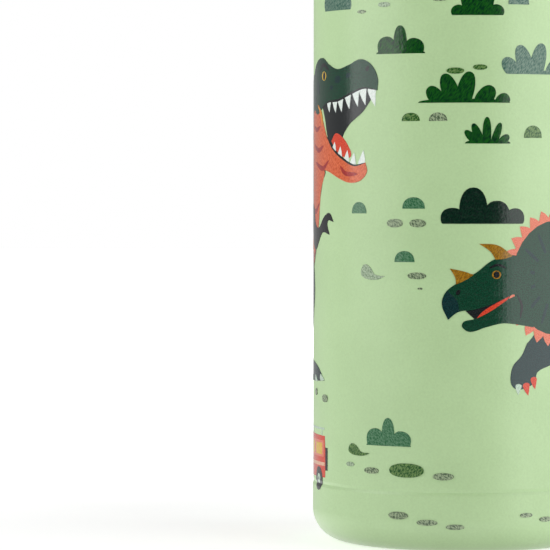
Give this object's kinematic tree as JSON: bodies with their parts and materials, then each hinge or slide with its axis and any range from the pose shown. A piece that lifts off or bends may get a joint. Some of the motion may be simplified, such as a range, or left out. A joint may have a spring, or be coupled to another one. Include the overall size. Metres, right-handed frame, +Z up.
{
  "type": "kids water bottle",
  "caption": "Double-wall steel water bottle with a screw lid, push-button flip cover, folding straw spout, safety bail and side carry loop.",
  "frame": {"origin": "on the bottle's axis, in the plane of the foot ring it stands on", "axes": "+Z up the bottle, the push button at the front on -Y, the cover's hinge at the back on +Y, the carry loop on +X"},
  "size_m": [0.077, 0.0777, 0.222],
  "materials": {
    "powder_coat": "pale green powder coat, matte, fine orange peel, printed with raised ink motifs",
    "steel": "brushed and electropolished stainless steel",
    "wire_steel": "drawn stainless wire and ground pins",
    "lid_plastic": "fine satin texture, moulded",
    "core_plastic": "smooth white polypropylene",
    "accent_plastic": "smooth dark green, semi gloss",
    "silicone": "translucent food silicone",
    "straw_plastic": "translucent polypropylene tube"
  },
  "bodies": {
    "bottle": {"outer_shell": "powder_coat", "base_cup": "powder_coat", "base_disc": "steel", "vacuum_seal": "steel", "getter": "steel", "inner_liner": "steel", "liner_bottom": "steel"},
    "seal": {"neck_gasket": "silicone"},
    "lid": {"lid_shell": "lid_plastic", "lid_core": "core_plastic", "hinge_pin": "wire_steel", "torsion_spring": "wire_steel", "button_spring": "wire_steel", "spout_base": "silicone", "straw": "straw_plastic", "vent_valve": "silicone", "deck_ring": "silicone", "loop_pin": "wire_steel"},
    "spout": {"spout_tip": "silicone"},
    "cover": {"flip_cover": "lid_plastic", "cover_liner": "core_plastic", "spout_stopper": "silicone"},
    "button": {"push_button": "accent_plastic"},
    "bail": {"lock_bail": "wire_steel"},
    "loop": {"carry_loop": "accent_plastic"}
  },
  "joints": [
    {"name": "lid_rise", "type": "slide", "parent": "bottle", "child": "seal", "axis": [0, 0, 1], "range_m": [0, 0.0061]},
    {"name": "lid_turn", "type": "hinge", "parent": "seal", "child": "lid", "pos_m": [0, 0, 0.1892], "axis": [0, 0, 1], "range_deg": [0, 540]},
    {"name": "cover_open", "type": "hinge", "parent": "lid", "child": "cover", "pos_m": [0, 0.0335, 0.1935], "axis": [-1, 0, 0], "range_deg": [0, 115], "deforming": ["torsion_spring"]},
    {"name": "spout_rise", "type": "hinge", "parent": "lid", "child": "spout", "pos_m": [0, 0.008, 0.1995], "axis": [-1, 0, 0], "range_deg": [0, 75.5]},
    {"name": "button_press", "type": "slide", "parent": "lid", "child": "button", "axis": [0, 1, 0], "range_m": [0, 0.0018], "stiffness_N_per_m": 400, "springref_m": -0.0005, "deforming": ["button_spring"]},
    {"name": "bail_swing", "type": "hinge", "parent": "lid", "child": "bail", "pos_m": [0, -0.0348, 0.18662], "axis": [-1, 0, 0], "range_deg": [0, 148]},
    {"name": "loop_swing", "type": "hinge", "parent": "lid", "child": "loop", "pos_m": [0.0386, 0, 0.184], "axis": [0, -1, 0], "range_deg": [0, 178]}
  ],
  "couplings": [
    {"joint": "lid_rise", "follows": "lid_turn", "m_per_rad": 0.00063662},
    {"joint": "spout_rise", "follows": "cover_open", "ratio": 0.65}
  ]
}
